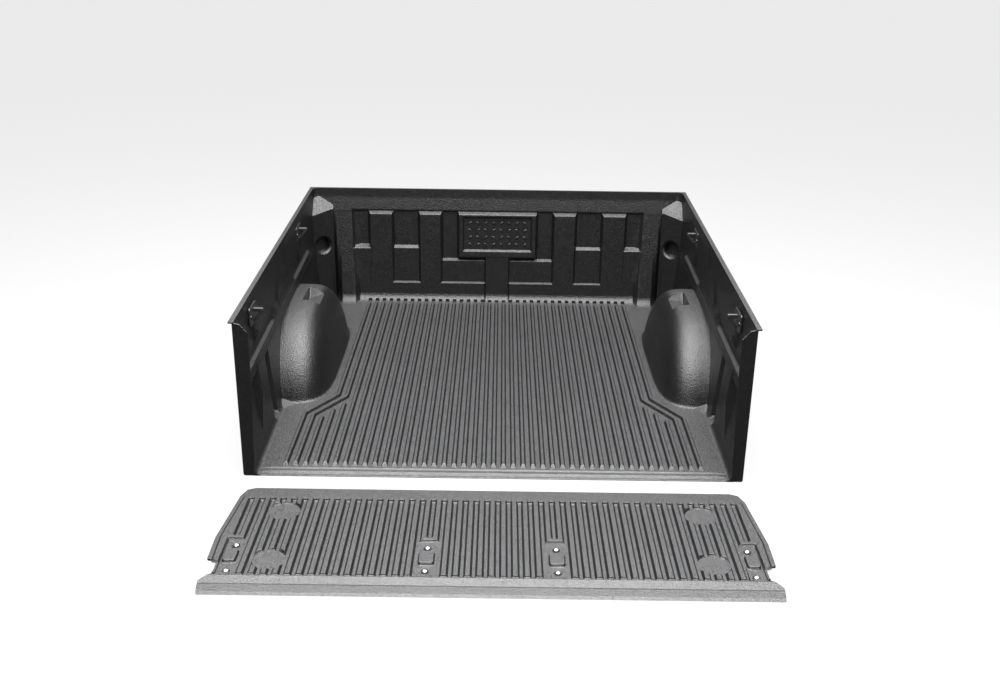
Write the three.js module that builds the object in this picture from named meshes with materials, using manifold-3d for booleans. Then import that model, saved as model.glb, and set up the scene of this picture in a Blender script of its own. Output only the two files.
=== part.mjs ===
// Under-rail bed liner for a short-bed pickup: a formed tub, a tailgate liner and their hardware.
// Millimetres, +Z up, +Y towards the cab, X across the truck. Left and right sides mirror each other.
// Inside this file Y = 0 is the rear end of the floor ribs and Z = 0 is the top of the ribs.
// The exported group moves the model so that its origin is the bottom centre of its box.

import * as THREE from 'three';
import { mergeVertices } from 'three/addons/utils/BufferGeometryUtils.js';
import Module from 'manifold-3d';

const wasm = await Module();
wasm.setup();

// ---------------------------------------------------------------- driving dimensions
const SHEET = 4; // thickness of the formed sheet
const GAP = 0.3; // clearance between neighbouring pieces
const REST = -14; // the plane that the liner lies on
const PAST = 6; // how far a cutter runs past the face it cuts

const FLOOR_REAR = -66; // rear edge of the tub
const FLOOR_FRONT = 1654; // front wall, face of the deepest panels
const FLOOR_TOP = REST + SHEET; // flat floor between the ribs
const WALL_TOP = 504;
const HALF_WIDTH_REAR = 760; // floor to side wall at the rear edge
const TAPER = 30 / (FLOOR_FRONT - FLOOR_REAR); // widening of each side towards the cab

const RIB = { pitch: 32, width: 16, hollow: 8, length: 1582, outermost: 21 };
const RIB_JOG = { shift: 3, start: 392, run: 160, stagger: 12 };
const SHORT_RIB_LENGTHS = { 17: 475, 18: 422, 19: 363 }; // ribs that stop behind the wheel wells

const WELL = { centre: 905, halfLength: 420, height: 262, inner: 612, outer: 794, round: 70 };
const BOARD_SLOT = { centre: 364, width: 48, depth: 15, top: 258 };
const REAR_FLANGE = { low: 748, high: 746, lowZ: 240, highZ: 480 };

const PANEL_STEP = 24; // columns stand this far in front of the deepest panels
const LEDGE_RISE = 13; // a ledge climbs this much from its lip to the panel behind it
const LEDGE = { header: 410, upper: 243, lower: 80, emblem: 182 };
const PILASTER = { inner: 648, outer: 733, high: 402, top: 30, foot: 52 };
const CORNER_HOLE = { x: 775, z: 255, radius: 37, throat: 33, depth: 18 };
const FRONT_FLANGE = 12;

const TAILGATE = { near: -155, far: -725, top: -2, grooveNear: -225, grooveFar: -641 };
const GROOVE = { pitch: 32.5, width: 14, depth: 8, outermost: 22.5, shortFar: -438 };
const SCREW_GROOVES = [5.5, 22.5]; // grooves that stop short of a row of screws
const DISC = { radius: 50, spots: [[620, -296], [615, -560]] }; // round flats at the grooves' depth
// Recesses round the screws, at the grooves' depth, each with a raised pad between its two screws.
const RECESS = { near: -455, spans: [[146, 212], [698, 751]] };
const PAD = { near: -516, far: -579, endNear: -634, spans: [[160, 203], [707, 743]] };
const SCREW_SPOTS = [[181.5, -492], [181.5, -609], [721, -490], [721, -619]];
const SCREW = { shank: 2.8, hole: 3.4, head: 8, dome: 5, washer: 11, washerThick: 1.5 };

const CLEAT = { z: 440, length: 96, height: 64, plate: 6, reach: 34, thick: 14, spots: [190, 1150] };
const CLEAT_WINDOW = { length: 44, height: 34 };
const BOLT = { shank: 3, hole: 3.6, head: 7, dome: 4, spacing: 76, length: 22 };

// Side wall section, rear edge: offsets outwards from the floor line, and heights.
const WALL_SECTION = [
  [0, REST], [25, 258], [11, 268], [12, 292], [26, 302], [29, WALL_TOP], [45, WALL_TOP],
  [45, WALL_TOP - SHEET], [33, WALL_TOP - SHEET], [30, 299], [15.8, 289.5], [15.2, 270.5],
  [29, 261.5], [SHEET, REST],
];

// ---------------------------------------------------------------- materials
const sheetPlastic = () => new THREE.MeshStandardMaterial({ color: 0x1c1c1d, roughness: 0.55, metalness: 0 });
const zincSteel = () => new THREE.MeshStandardMaterial({ color: 0xc9cbce, roughness: 0.3, metalness: 1 });
const blackMetal = () => new THREE.MeshStandardMaterial({ color: 0x0d0d0e, roughness: 0.4, metalness: 0.3 });

// ---------------------------------------------------------------- solids
function solid(geometry) {
  geometry.deleteAttribute('normal');
  geometry.deleteAttribute('uv');
  const merged = mergeVertices(geometry, 1e-4);
  const vertProperties = new Float32Array(merged.attributes.position.array);
  const triVerts = new Uint32Array(merged.index.array);
  return new wasm.Manifold(new wasm.Mesh({ numProp: 3, vertProperties, triVerts }));
}

function geometryOf(manifold) {
  const mesh = manifold.getMesh();
  const geometry = new THREE.BufferGeometry();
  geometry.setAttribute('position', new THREE.BufferAttribute(mesh.vertProperties, 3));
  geometry.setIndex(new THREE.BufferAttribute(mesh.triVerts, 1));
  return geometry;
}

function box(x0, x1, y0, y1, z0, z1) {
  const geometry = new THREE.BoxGeometry(Math.abs(x1 - x0), y1 - y0, z1 - z0);
  geometry.translate((x0 + x1) / 2, (y0 + y1) / 2, (z0 + z1) / 2);
  return solid(geometry);
}

function outline(points) {
  return new THREE.Shape(points.map(([u, v]) => new THREE.Vector2(u, v)));
}

// Plan outline (x, y) raised from z0 to z1.
function raise(points, z0, z1) {
  const geometry = new THREE.ExtrudeGeometry(outline(points), { depth: z1 - z0, bevelEnabled: false });
  geometry.translate(0, 0, z0);
  return geometry;
}

// Cross-section (x, z) swept along Y from y0 to y1.
function sweepY(points, y0, y1) {
  const geometry = new THREE.ExtrudeGeometry(outline(points), { depth: y1 - y0, bevelEnabled: false });
  geometry.rotateX(Math.PI / 2);
  geometry.translate(0, y1, 0);
  return geometry;
}

// Cross-section (y, z) swept along X from x0 to x1, with options for rounded ends.
function sweepX(points, x0, x1, options = { bevelEnabled: false }) {
  const geometry = new THREE.ExtrudeGeometry(outline(points), { depth: x1 - x0, ...options });
  geometry.rotateX(Math.PI / 2);
  geometry.rotateZ(Math.PI / 2);
  geometry.translate(x0, 0, 0);
  return geometry;
}

// Turned piece: profile (radius, height) about Z.
function turned(profile, segments) {
  const geometry = new THREE.LatheGeometry(profile.map(([r, h]) => new THREE.Vector2(r, h)), segments);
  geometry.rotateX(Math.PI / 2);
  return geometry;
}

// Moves a side's vertices outwards with Y, as the side walls widen towards the cab.
function tapered(geometry, side) {
  const position = geometry.attributes.position;
  for (let i = 0; i < position.count; i += 1) {
    const widening = TAPER * (position.getY(i) - FLOOR_REAR);
    position.setX(i, position.getX(i) + side * widening);
  }
  return geometry;
}

// Side section given as offsets from the rear floor line, swept and widened.
function sideSweep(section, side, y0, y1) {
  const points = section.map(([offset, z]) => [side * (HALF_WIDTH_REAR + offset), z]);
  return solid(tapered(sweepY(points, y0, y1), side));
}

function together(solids) {
  return solids.reduce((sum, next) => sum.add(next));
}

// ---------------------------------------------------------------- floor
// Centre line of a rib, as plan points from rear to front.
function ribRoute(index) {
  const x = RIB.pitch * index;
  const number = Math.abs(index);
  if (number in SHORT_RIB_LENGTHS) {
    return [[x, 0], [x, SHORT_RIB_LENGTHS[number]]];
  }
  if (number > RIB.outermost - 2) {
    const start = RIB_JOG.start - RIB_JOG.stagger * (RIB.outermost - number);
    const shifted = x - Math.sign(index) * RIB_JOG.shift * RIB.pitch;
    return [[x, 0], [x, start], [shifted, start + RIB_JOG.run], [shifted, RIB.length]];
  }
  return [[x, 0], [x, RIB.length]];
}

// Strip of the given width along a route that runs mainly in Y.
function strip(route, width, shorten) {
  const last = route.length - 1;
  const left = [];
  const right = [];
  route.forEach(([x, y], i) => {
    const end = i === 0 ? shorten : i === last ? -shorten : 0;
    left.push([x - width / 2, y + end]);
    right.push([x + width / 2, y + end]);
  });
  return [...left, ...right.reverse()];
}

function floorPlate() {
  const front = FLOOR_FRONT - GAP;
  const rearX = HALF_WIDTH_REAR - GAP;
  const frontX = rearX + TAPER * (front - FLOOR_REAR);
  const plan = [[-rearX, FLOOR_REAR], [rearX, FLOOR_REAR], [frontX, front], [-frontX, front]];
  return solid(raise(plan, REST, FLOOR_TOP));
}

// Two beads along the rear edge; the edge then turns down over the sill.
function rearLip() {
  const section = [[-66, REST + 1], [-56, -7], [-48, -5], [-38, -5], [-33, -9], [-28, -9], [-24, -6],
    [-15, -6], [-9, FLOOR_TOP - 1], [-9, REST + 1]];
  const half = HALF_WIDTH_REAR - 4;
  return solid(sweepX(section, -half, half));
}

function bedFloor() {
  let floor = floorPlate().add(rearLip());
  const indices = [];
  for (let i = -RIB.outermost; i <= RIB.outermost; i += 1) {
    indices.push(i);
  }
  const routes = indices.map(ribRoute);
  floor = floor.add(together(routes.map((r) => solid(raise(strip(r, RIB.width, 0), FLOOR_TOP - 1, 0)))));
  const hollows = routes.map((r) => solid(raise(strip(r, RIB.hollow, SHEET), REST - PAST, -SHEET)));
  floor = floor.subtract(together(hollows));
  return floor.subtract(wellForm(-1, GAP)).subtract(wellForm(1, GAP));
}

// ---------------------------------------------------------------- wheel wells
// Rounded arch over the wheelhouse; grow makes it larger or smaller all round.
function wellForm(side, grow) {
  const halfLength = WELL.halfLength + grow;
  const height = WELL.height + grow;
  const steps = 18;
  const foot = REST - 2 * WELL.round;
  const points = [[WELL.centre + halfLength, foot]];
  for (let i = 0; i <= steps; i += 1) {
    const angle = (Math.PI * i) / steps;
    points.push([WELL.centre + halfLength * Math.cos(angle), height * Math.sin(angle)]);
  }
  points.push([WELL.centre - halfLength, foot]);
  const rounding = {
    bevelEnabled: true, bevelThickness: WELL.round, bevelSize: WELL.round,
    bevelOffset: -WELL.round, bevelSegments: 4,
  };
  const from = WELL.inner + WELL.round - grow;
  const to = WELL.outer + WELL.round;
  const span = side > 0 ? [from, to] : [-to, -from];
  return solid(sweepX(points, span[0], span[1], rounding));
}

function wheelWell(side) {
  const reach = WELL.halfLength + PAST;
  const x0 = side > 0 ? 0 : -WELL.outer;
  const keep = box(x0, x0 + WELL.outer, WELL.centre - reach, WELL.centre + reach, REST, WALL_TOP);
  return wellForm(side, 0).subtract(wellForm(side, -SHEET)).intersect(keep);
}

// ---------------------------------------------------------------- side walls
function boardSlot(side, cutter) {
  const half = BOARD_SLOT.width / 2 + (cutter ? 0 : SHEET);
  const depth = BOARD_SLOT.depth + (cutter ? 0 : SHEET);
  const low = cutter ? FLOOR_TOP : REST;
  const high = BOARD_SLOT.top + (cutter ? -SHEET : 0);
  const lean = 24;
  const inner = cutter ? -PAST : 1;
  const section = [[inner, low], [depth, low], [depth + lean, high], [inner + lean, high]];
  return sideSweep(section, side, BOARD_SLOT.centre - half, BOARD_SLOT.centre + half);
}

function rearFlange(side) {
  const edge = HALF_WIDTH_REAR;
  const points = [[edge, REST], [edge, 0], [REAR_FLANGE.low, REAR_FLANGE.lowZ],
    [REAR_FLANGE.high, REAR_FLANGE.highZ], [edge + 30, WALL_TOP], [edge + 33, WALL_TOP],
    [edge + 28, REAR_FLANGE.lowZ], [edge + SHEET, REST]];
  const sided = points.map(([x, z]) => [side * x, z]);
  return solid(sweepY(sided, FLOOR_REAR, FLOOR_REAR + SHEET));
}

// Inner face of the upper side wall at a station.
function wallFaceX(y) {
  return HALF_WIDTH_REAR + 26 + TAPER * (y - FLOOR_REAR);
}

function boltHoles(side, y) {
  const x = side * wallFaceX(y);
  return [-1, 1].map((end) => {
    const hole = new THREE.CylinderGeometry(BOLT.hole, BOLT.hole, 60, 10);
    hole.rotateZ(Math.PI / 2);
    hole.translate(x, y + (end * BOLT.spacing) / 2, CLEAT.z);
    return solid(hole);
  });
}

function sideWall(side) {
  let wall = sideSweep(WALL_SECTION, side, FLOOR_REAR, FLOOR_FRONT - GAP);
  wall = wall.add(rearFlange(side)).add(boardSlot(side, false)).subtract(boardSlot(side, true));
  for (const y of CLEAT.spots) {
    const x = side * wallFaceX(y);
    const halfLength = CLEAT_WINDOW.length / 2;
    const halfHeight = CLEAT_WINDOW.height / 2;
    const window = box(x - 30, x + 30, y - halfLength, y + halfLength, CLEAT.z - halfHeight,
      CLEAT.z + halfHeight);
    wall = wall.subtract(window).subtract(together(boltHoles(side, y)));
  }
  return wall.subtract(wellForm(side, GAP));
}

// ---------------------------------------------------------------- front wall
// Raised panel with a sloped top: it stands PANEL_STEP * share in front of the deepest panels.
// With an inset it is the hollow behind the panel instead, one sheet smaller all round.
function panel(x0, x1, foot, lip, share, inset) {
  const face = FLOOR_FRONT - PANEL_STEP * share + inset;
  const back = FLOOR_FRONT + (inset ? SHEET + PAST : 1);
  const low = foot - (inset ? PAST : 0);
  const rise = LEDGE_RISE * share;
  const section = [[face, low], [back, low], [back, lip + rise - inset], [FLOOR_FRONT, lip + rise - inset],
    [face, lip - inset / 2]];
  return solid(sweepX(section, x0 + inset, x1 - inset));
}

// Panels of one half: from, to, top, and how far they stand out.
function frontPanels() {
  const half = [
    [254, 347, LEDGE.header, 1],
    [472, 570, LEDGE.header, 1],
    [347, 472, LEDGE.upper, 0.55],
    [570, 650, LEDGE.upper, 1],
    [56, 254, LEDGE.emblem, 0.55],
    [56, 472, LEDGE.lower, 1],
  ];
  const panels = [[-174, 174, LEDGE.header, 1]];
  for (const [x0, x1, top, share] of half) {
    panels.push([x0, x1, top, share], [-x1, -x0, top, share]);
  }
  return panels;
}

// Pilaster beside the corner: it stands out by PILASTER.top at its top and by PILASTER.foot at the floor.
function pilaster(side, inset) {
  const { inner, outer, high, top, foot } = PILASTER;
  const low = FLOOR_TOP + GAP - (inset ? PAST : 0);
  const back = FLOOR_FRONT + (inset ? SHEET + PAST : 1);
  const section = [[FLOOR_FRONT - foot + inset, low], [back, low], [back, high - inset],
    [FLOOR_FRONT - top + inset, high - inset]];
  const xs = [side * (inner + inset), side * (outer - inset)].sort((a, b) => a - b);
  return solid(sweepX(section, xs[0], xs[1]));
}

function cornerCollar(side) {
  const { x, z, radius, throat, depth } = CORNER_HOLE;
  const profile = [[radius, 0], [radius + SHEET, 0], [throat + SHEET, depth], [0, depth],
    [0, depth - SHEET], [throat, depth - SHEET], [radius, 0]];
  const collar = turned(profile, 20);
  collar.rotateX(-Math.PI / 2);
  collar.translate(side * x, FLOOR_FRONT, z);
  return solid(collar);
}

function frontWall() {
  const wide = HALF_WIDTH_REAR + TAPER * (FLOOR_FRONT - FLOOR_REAR);
  const plan = [[-wide - 4, REST], [wide + 4, REST], [wide + 33, WALL_TOP], [-wide - 33, WALL_TOP]];
  const sheet = solid(sweepY(plan, FLOOR_FRONT, FLOOR_FRONT + SHEET));
  const flange = box(-wide - 33, wide + 33, FLOOR_FRONT + 1, FLOOR_FRONT + FRONT_FLANGE,
    WALL_TOP - SHEET, WALL_TOP);
  const foot = FLOOR_TOP + GAP;
  const shells = frontPanels().map(([x0, x1, top, share]) => panel(x0, x1, foot, top, share, 0));
  const hollows = frontPanels().map(([x0, x1, top, share]) => panel(x0, x1, foot, top, share, SHEET));
  for (const side of [-1, 1]) {
    shells.push(pilaster(side, 0));
    hollows.push(pilaster(side, SHEET));
  }
  let wall = together([sheet, flange, ...shells]).subtract(together(hollows));
  for (const side of [-1, 1]) {
    const hole = new THREE.CylinderGeometry(CORNER_HOLE.radius, CORNER_HOLE.radius, 40, 20);
    hole.translate(side * CORNER_HOLE.x, FLOOR_FRONT, CORNER_HOLE.z);
    wall = wall.subtract(solid(hole)).add(cornerCollar(side));
  }
  return wall;
}

// ---------------------------------------------------------------- tailgate liner
// Plan of the tailgate liner, drawn inset mm inside its edge; notches clear the tailgate latches.
function tailgatePlan(inset) {
  const { near, far } = TAILGATE;
  const half = [
    [733 - inset, near - inset], [758 - inset, near - 12 - inset], [772 - inset, near - 52],
    [791 - inset, -446], [787 - inset, -560 + inset], [757 - inset, -566 + inset],
    [757 - inset, -640 - inset], [786 - inset, -668 - inset], [778 - inset, far + inset],
  ];
  const mirror = half.map(([x, y]) => [-x, y]).reverse();
  return [...half, ...mirror];
}

function grooveNumbers() {
  const numbers = [];
  for (let k = -GROOVE.outermost; k <= GROOVE.outermost; k += 1) {
    numbers.push(k);
  }
  return numbers;
}

// Everything that lies at the grooves' depth, as one cutter, or with margin as the troughs that hold it.
function grooves(margin, z0, z1) {
  const half = GROOVE.width / 2 + margin;
  const far = TAILGATE.grooveFar - margin;
  const bars = grooveNumbers().map((k) => {
    const x = GROOVE.pitch * k;
    const end = SCREW_GROOVES.includes(Math.abs(k)) ? GROOVE.shortFar - margin : far;
    return box(x - half, x + half, end, TAILGATE.grooveNear + margin, z0, z1);
  });
  let all = together(bars);
  for (const side of [-1, 1]) {
    for (const [x, y] of DISC.spots) {
      const disc = new THREE.CylinderGeometry(DISC.radius + margin, DISC.radius + margin, z1 - z0, 24);
      disc.rotateX(Math.PI / 2);
      disc.translate(side * x, y, (z0 + z1) / 2);
      all = all.add(solid(disc));
    }
    RECESS.spans.forEach(([inner, outer], i) => {
      const xs = [side * (inner - margin), side * (outer + margin)].sort((a, b) => a - b);
      all = all.add(box(xs[0], xs[1], far, RECESS.near + margin, z0, z1));
      const padXs = PAD.spans[i].map((x) => side * x).sort((a, b) => a - b);
      if (margin === 0) {
        all = all.subtract(box(padXs[0], padXs[1], PAD.far, PAD.near, z0, z1));
        all = all.subtract(box(padXs[0], padXs[1], far, PAD.endNear, z0, z1));
      }
    });
  }
  return all;
}

function screwSpots() {
  return SCREW_SPOTS.flatMap(([x, y]) => [[-x, y], [x, y]]);
}

// A long bead near the outer edge.
function outerBead(y) {
  const { top } = TAILGATE;
  const section = [[y - 14, top - 1], [y - 8, top + 4], [y + 8, top + 4], [y + 14, top - 1]];
  return solid(sweepX(section, -750, 750));
}

function tailgateLiner() {
  const { top } = TAILGATE;
  const under = top - SHEET;
  const body = solid(raise(tailgatePlan(0), REST, top));
  const inside = solid(raise(tailgatePlan(SHEET), REST - PAST, under));
  const troughs = grooves(SHEET, REST - PAST, under + 1);
  let liner = body.subtract(inside.subtract(troughs));
  liner = liner.add(outerBead(-657)).add(outerBead(-692));
  liner = liner.subtract(grooves(0, top - GROOVE.depth, top + PAST));
  const holes = screwSpots().map(([x, y]) => {
    const hole = new THREE.CylinderGeometry(SCREW.hole, SCREW.hole, 60, 10);
    hole.rotateX(Math.PI / 2);
    hole.translate(x, y, 0);
    return solid(hole);
  });
  return liner.subtract(together(holes));
}

function tailgateWasher() {
  const { hole, washer, washerThick } = SCREW;
  const profile = [[hole, 0], [washer, 0], [washer, washerThick], [hole, washerThick], [hole, 0]];
  return turned(profile, 14);
}

// Head up, with the underside of the head at height 0.
function domeScrew({ shank, head, dome }, length, segments) {
  const profile = [[0, -length], [shank, -length + 1], [shank, 0], [head, 0], [head * 0.94, dome * 0.4],
    [head * 0.6, dome * 0.85], [0, dome]];
  return turned(profile, segments);
}

// ---------------------------------------------------------------- tie-down cleats
function tieDownCleat(side, y) {
  const { length, height, plate, reach, thick, z } = CLEAT;
  const face = wallFaceX(y - length / 2) - GAP;
  const span = side > 0 ? [face - plate, face] : [-face, plate - face];
  let cleat = box(span[0], span[1], y - length / 2, y + length / 2, z - height / 2, z + height / 2);
  const loop = [[0, 22], [reach, 22], [reach, 12], [8, -24], [0, -24]];
  const eye = [[-1, 13], [reach - 12, 13], [3, -11], [-1, -11]];
  const place = (points) => points.map(([out, up]) => [side * (face - plate - out + 0.5), z + up]);
  cleat = cleat.add(solid(sweepY(place(loop), y - thick / 2, y + thick / 2)));
  cleat = cleat.subtract(solid(sweepY(place(eye), y - thick, y + thick)));
  return cleat.subtract(together(boltHoles(side, y)));
}

function tieDownBolt(side) {
  const bolt = domeScrew(BOLT, BOLT.length, 12);
  bolt.rotateY((-side * Math.PI) / 2);
  return bolt;
}

// ---------------------------------------------------------------- assembly
const liner = new THREE.Group();

function place(name, geometry, material, position = [0, 0, 0]) {
  const mesh = new THREE.Mesh(geometry, material);
  mesh.name = name;
  mesh.position.set(...position);
  liner.add(mesh);
}

place('bed_floor', geometryOf(bedFloor()), sheetPlastic());
place('front_wall', geometryOf(frontWall()), sheetPlastic());
for (const [side, label] of [[-1, 'left'], [1, 'right']]) {
  place(`${label}_side_wall`, geometryOf(sideWall(side)), sheetPlastic());
  place(`${label}_wheel_well`, geometryOf(wheelWell(side)), sheetPlastic());
  CLEAT.spots.forEach((y, i) => {
    const end = i === 0 ? 'rear' : 'front';
    place(`tie_down_cleat_${end}_${label}`, geometryOf(tieDownCleat(side, y)), blackMetal());
    const headFace = wallFaceX(y - CLEAT.length / 2) - CLEAT.plate - 2 * GAP;
    for (const [step, number] of [[-1, 1], [1, 2]]) {
      const spot = [side * headFace, y + (step * BOLT.spacing) / 2, CLEAT.z];
      place(`cleat_bolt_${end}_${label}_${number}`, tieDownBolt(side), zincSteel(), spot);
    }
  });
}

place('tailgate_liner', geometryOf(tailgateLiner()), sheetPlastic());
screwSpots().forEach(([x, y], i) => {
  const washerZ = TAILGATE.top - GROOVE.depth + GAP;
  const headZ = washerZ + SCREW.washerThick + GAP;
  place(`tailgate_washer_${i + 1}`, tailgateWasher(), blackMetal(), [x, y, washerZ]);
  place(`tailgate_screw_${i + 1}`, domeScrew(SCREW, headZ - REST - 0.5, 12), zincSteel(), [x, y, headZ]);
});

const middle = (TAILGATE.far + FLOOR_FRONT + CORNER_HOLE.depth) / 2;
liner.position.set(0, -middle, -REST);

export default liner;
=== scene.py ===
"""Looks for the truck bed liner: the formed tub, the tailgate liner, and their hardware.

Shapes are worked out in millimetres in the liner's own coordinates: X across the truck, Y = 0 at the
rear ends of the floor ribs and growing towards the cab, Z = 0 at the tops of the ribs.
SHIFT takes them to the row frame, and every mesh is stored in metres.
"""

import math

import bmesh
import bpy
import numpy as np
from mathutils import Matrix, Vector
from mathutils.geometry import delaunay_2d_cdt


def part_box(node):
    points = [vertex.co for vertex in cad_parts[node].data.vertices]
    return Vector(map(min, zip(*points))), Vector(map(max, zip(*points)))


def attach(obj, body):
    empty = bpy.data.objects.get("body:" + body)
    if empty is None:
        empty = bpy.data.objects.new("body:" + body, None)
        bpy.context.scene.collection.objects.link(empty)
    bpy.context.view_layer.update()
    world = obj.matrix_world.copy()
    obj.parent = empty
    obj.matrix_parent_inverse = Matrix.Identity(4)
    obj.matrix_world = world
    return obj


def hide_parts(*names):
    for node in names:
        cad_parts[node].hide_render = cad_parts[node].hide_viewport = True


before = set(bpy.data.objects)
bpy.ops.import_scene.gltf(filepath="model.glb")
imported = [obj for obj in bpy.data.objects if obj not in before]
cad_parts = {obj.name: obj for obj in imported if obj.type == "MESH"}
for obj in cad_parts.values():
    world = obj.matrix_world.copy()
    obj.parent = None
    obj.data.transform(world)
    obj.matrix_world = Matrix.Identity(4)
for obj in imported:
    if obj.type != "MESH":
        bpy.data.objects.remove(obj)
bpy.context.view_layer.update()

# ---- driving dimensions, millimetres
MM = 0.001
SHEET = 4.0
REST = -14.0  # the plane that the liner lies on
FLOOR = -10.0  # flat floor between the ribs
WALL_TOP = 504.0
REAR = -66.0  # rear edge of the tub
DEEP = 1654.0  # deepest panels of the front wall
SHIFT = np.array([0.0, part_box("bed_floor")[0].y / MM - REAR, -REST])

HALF_WIDTH = 760.0  # floor line of a side wall at the rear edge
TAPER = 30.0 / (DEEP - REAR)
RIB_PITCH = 32.0
LAST_RIB = 21
ALL_RIBS = range(-LAST_RIB, LAST_RIB + 1)
RIB_END = 1577.0
SHORT_RIBS = {17: 475.0, 18: 422.0, 19: 363.0}
JOG_START, JOG_RUN, JOG_SHIFT = 388.0, 160.0, 96.0


# ---- mesh helpers
def gather(parts):
    """Several closed bodies as one set of points and faces."""
    points, faces, count = [], [], 0
    for part_points, part_faces in parts:
        points.append(np.asarray(part_points, float))
        faces += [tuple(i + count for i in face) for face in part_faces]
        count += len(part_points)
    return np.vstack(points), faces


def solid(name, part):
    """A mesh object from points in millimetres, with its faces turned outwards."""
    points, faces = part
    mesh = bpy.data.meshes.new(name)
    mesh.from_pydata(((np.asarray(points, float) + SHIFT) * MM).tolist(), [], faces)
    bm = bmesh.new()
    bm.from_mesh(mesh)
    bmesh.ops.remove_doubles(bm, verts=bm.verts, dist=1e-7)
    bmesh.ops.recalc_face_normals(bm, faces=bm.faces)
    bm.to_mesh(mesh)
    bm.free()
    obj = bpy.data.objects.new(name, mesh)
    bpy.context.scene.collection.objects.link(obj)
    return obj


def combine(target, operation, part):
    """Unites, subtracts or intersects a closed body with the target, for good."""
    other = solid("cutter", part) if isinstance(part, tuple) else part
    modifier = target.modifiers.new("combine", "BOOLEAN")
    modifier.operation = operation
    modifier.solver = "MANIFOLD"
    modifier.object = other
    result = bpy.data.meshes.new_from_object(
        target.evaluated_get(bpy.context.evaluated_depsgraph_get())
    )
    target.modifiers.clear()
    old = target.data
    target.data = result
    bpy.data.meshes.remove(old)
    spent = other.data
    bpy.data.objects.remove(other)
    bpy.data.meshes.remove(spent)
    return target


def inside(spot, outline):
    """Whether a flat point is inside an outline, holes included."""
    crossings = 0
    for first, second in zip(outline, outline[1:] + outline[:1]):
        if (first.y > spot.y) != (second.y > spot.y):
            share = (spot.y - first.y) / (second.y - first.y)
            crossings += first.x + share * (second.x - first.x) > spot.x
    return crossings % 2 == 1


def sound_triangles(face):
    """Triangles over a flat face whose outline may run in and out of its holes; None if they don't fit."""
    across = face.normal.orthogonal().normalized()
    along = face.normal.cross(across)
    corners = list(face.verts)
    start = corners[0].co.copy()
    flat = [Vector(((v.co - start).dot(across), (v.co - start).dot(along))) / MM for v in corners]
    count = len(flat)
    points, _, triangles, sources, _, _ = delaunay_2d_cdt(
        flat, [(i, (i + 1) % count) for i in range(count)], [], 0, 1e-4
    )
    picked, area = [], 0.0
    for triangle in triangles:
        a, b, c = (points[i] for i in triangle)
        if not inside((a + b + c) / 3, flat) or not all(sources[i] for i in triangle):
            continue
        area += abs((b - a).cross(c - a)) / 2
        picked.append([corners[sources[i][0]] for i in triangle])
    return picked if abs(area * MM**2 / face.calc_area() - 1) < 0.01 else None


def mend(obj):
    """Cuts flat faces that have a hole or a slit in their outline into sound triangles."""
    mesh = obj.data
    mesh.calc_loop_triangles()
    spoilt = set()
    for triangle in mesh.loop_triangles:
        if triangle.normal.dot(mesh.polygons[triangle.polygon_index].normal) < 0.9:
            spoilt.add(triangle.polygon_index)
    bm = bmesh.new()
    bm.from_mesh(mesh)
    bm.faces.ensure_lookup_table()
    old = []
    for face in [bm.faces[index] for index in sorted(spoilt) if len(bm.faces[index].verts) > 4]:
        triangles = sound_triangles(face)
        if triangles is None:
            continue
        old.append(face)
        for corners in triangles:
            if len(set(corners)) == 3 and bm.faces.get(corners) is None:
                bm.faces.new(corners)
    bmesh.ops.delete(bm, geom=old, context="FACES_ONLY")
    bmesh.ops.remove_doubles(bm, verts=bm.verts, dist=1e-6)
    bm.to_mesh(mesh)
    bm.free()


def rounded(points, radii, steps=4):
    """A polyline with its inner corners rounded; radii is one number or one for each inner corner."""
    points = [np.array(p, float) for p in points]
    inner = len(points) - 2
    radii = [radii] * inner if np.isscalar(radii) else list(radii)
    out = [points[0]]
    for i in range(1, len(points) - 1):
        here, radius = points[i], radii[i - 1]
        back = points[i - 1] - here
        on = points[i + 1] - here
        back_length, on_length = np.linalg.norm(back), np.linalg.norm(on)
        back, on = back / back_length, on / on_length
        half = math.acos(float(np.clip(back @ on, -1, 1))) / 2
        if radius <= 0 or half > math.radians(89.5):
            out.append(here)
            continue
        reach = min(radius / math.tan(half), 0.49 * back_length, 0.49 * on_length)
        start, end = here + back * reach, here + on * reach
        centre = here + (back + on) / np.linalg.norm(back + on) * reach / math.cos(half)
        a, b = start - centre, end - centre
        sweep = math.pi - 2 * half
        for k in range(steps + 1):
            t = k / steps
            out.append(centre + (a * math.sin((1 - t) * sweep) + b * math.sin(t * sweep)) / math.sin(sweep))
    out.append(points[-1])
    return np.array(out)


def edge_profile(height, foot, crown, draft, steps=4):
    """Offsets and heights up a drafted step, from the surface that it stands on to its top."""
    far = 3 * (foot + crown) + draft
    line = rounded(
        [(far, 0), (draft / 2, 0), (-draft / 2, height), (-far, height)], [foot, crown], steps
    )
    return line[1:-1]


class Outline:
    """A closed plan outline that can be offset: centres, unit normals and radii, with a stretch."""

    def __init__(self, samples):
        self.centre = np.array([s[0] for s in samples], float)
        self.normal = np.array([s[1] for s in samples], float)
        self.radius = np.array([s[2] for s in samples], float)
        self.stretch = np.array([s[3] if len(s) > 3 else (1.0, 1.0) for s in samples], float)

    def ring(self, offset, z):
        plan = self.centre + self.normal * self.radius[:, None]
        plan = plan + self.normal * self.stretch * offset
        return np.column_stack([plan, np.full(len(plan), z)])


def corner_arc(cx, cy, start, end, radius, steps=3, stretch=(1.0, 1.0)):
    """Outline samples round a corner, angles in degrees."""
    samples = []
    for k in range(steps + 1):
        a = math.radians(start + (end - start) * k / steps)
        samples.append(((cx, cy), (math.cos(a), math.sin(a)), radius, stretch))
    return samples


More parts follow.
